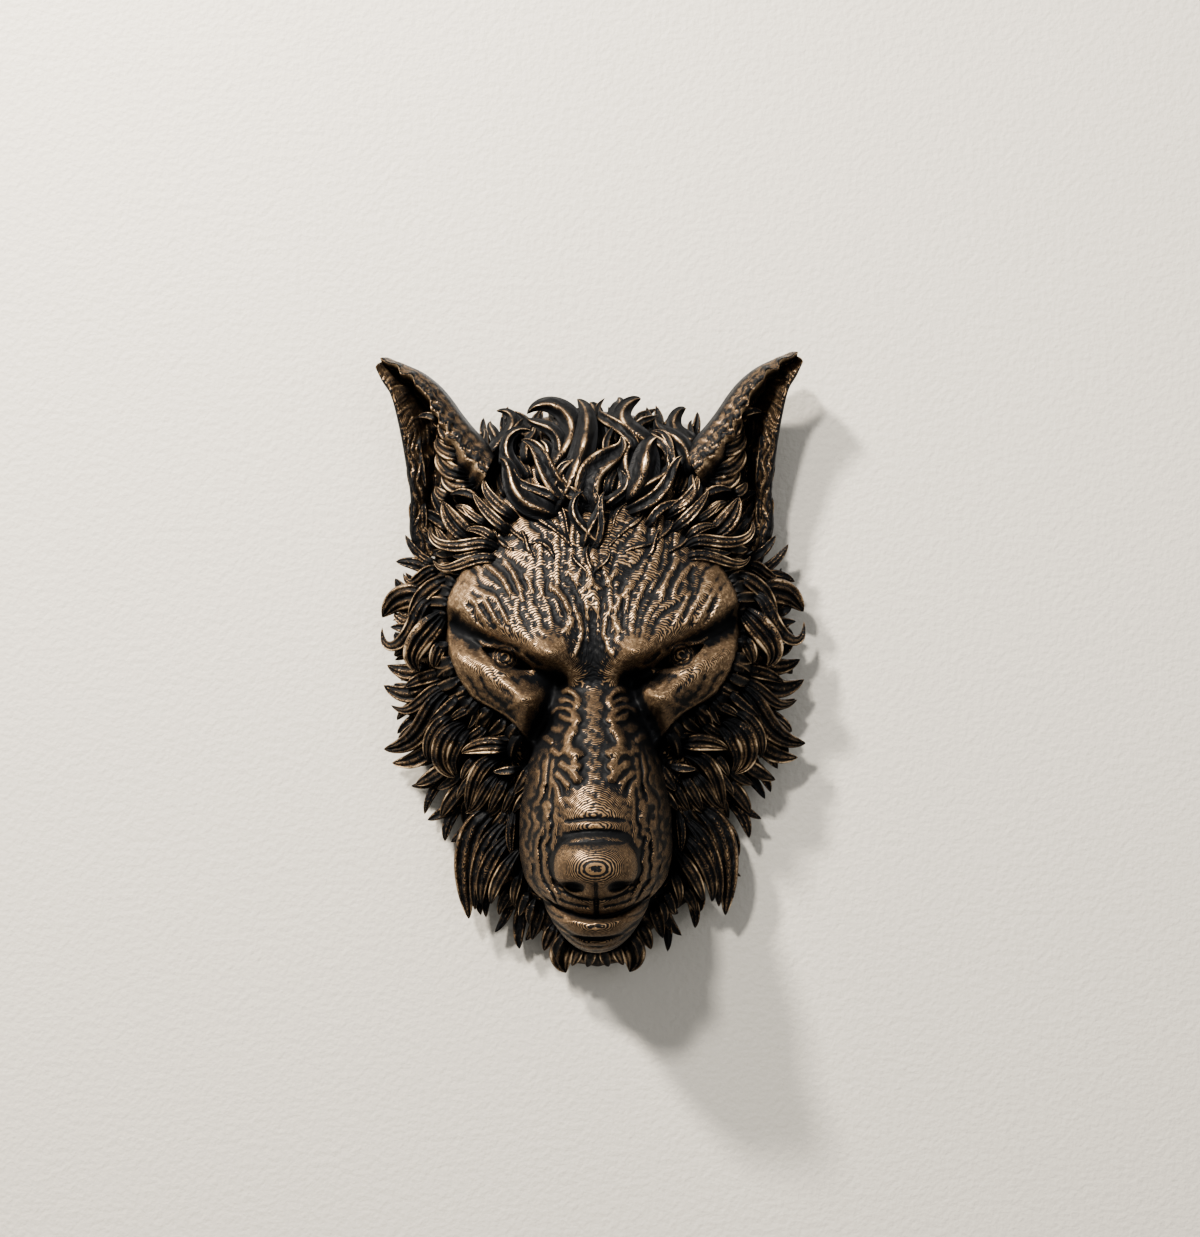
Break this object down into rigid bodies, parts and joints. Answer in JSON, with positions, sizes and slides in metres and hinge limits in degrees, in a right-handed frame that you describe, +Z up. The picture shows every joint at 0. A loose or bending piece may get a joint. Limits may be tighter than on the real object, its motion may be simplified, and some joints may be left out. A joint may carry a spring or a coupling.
{
  "type": "wolf head wall mask",
  "caption": "Wolf head wall mask in relief, with pricked cupped ears, a frowning brow, a long muzzle and a mane of pointed locks, on a flat back with a blind hanging slot.",
  "frame": {"origin": "middle of the flat back, on the wall's surface", "axes": "+Y into the wall, out of the flat back; +Z up, towards the ears; the face looks along -Y; +X to the right as seen from the front"},
  "size_m": [0.1917, 0.1063, 0.2777],
  "materials": {
    "mask_plastic": "black paint dry-brushed with copper on the raised parts"
  },
  "bodies": {
    "root": {"wolf_mask": "mask_plastic"}
  },
  "joints": []
}
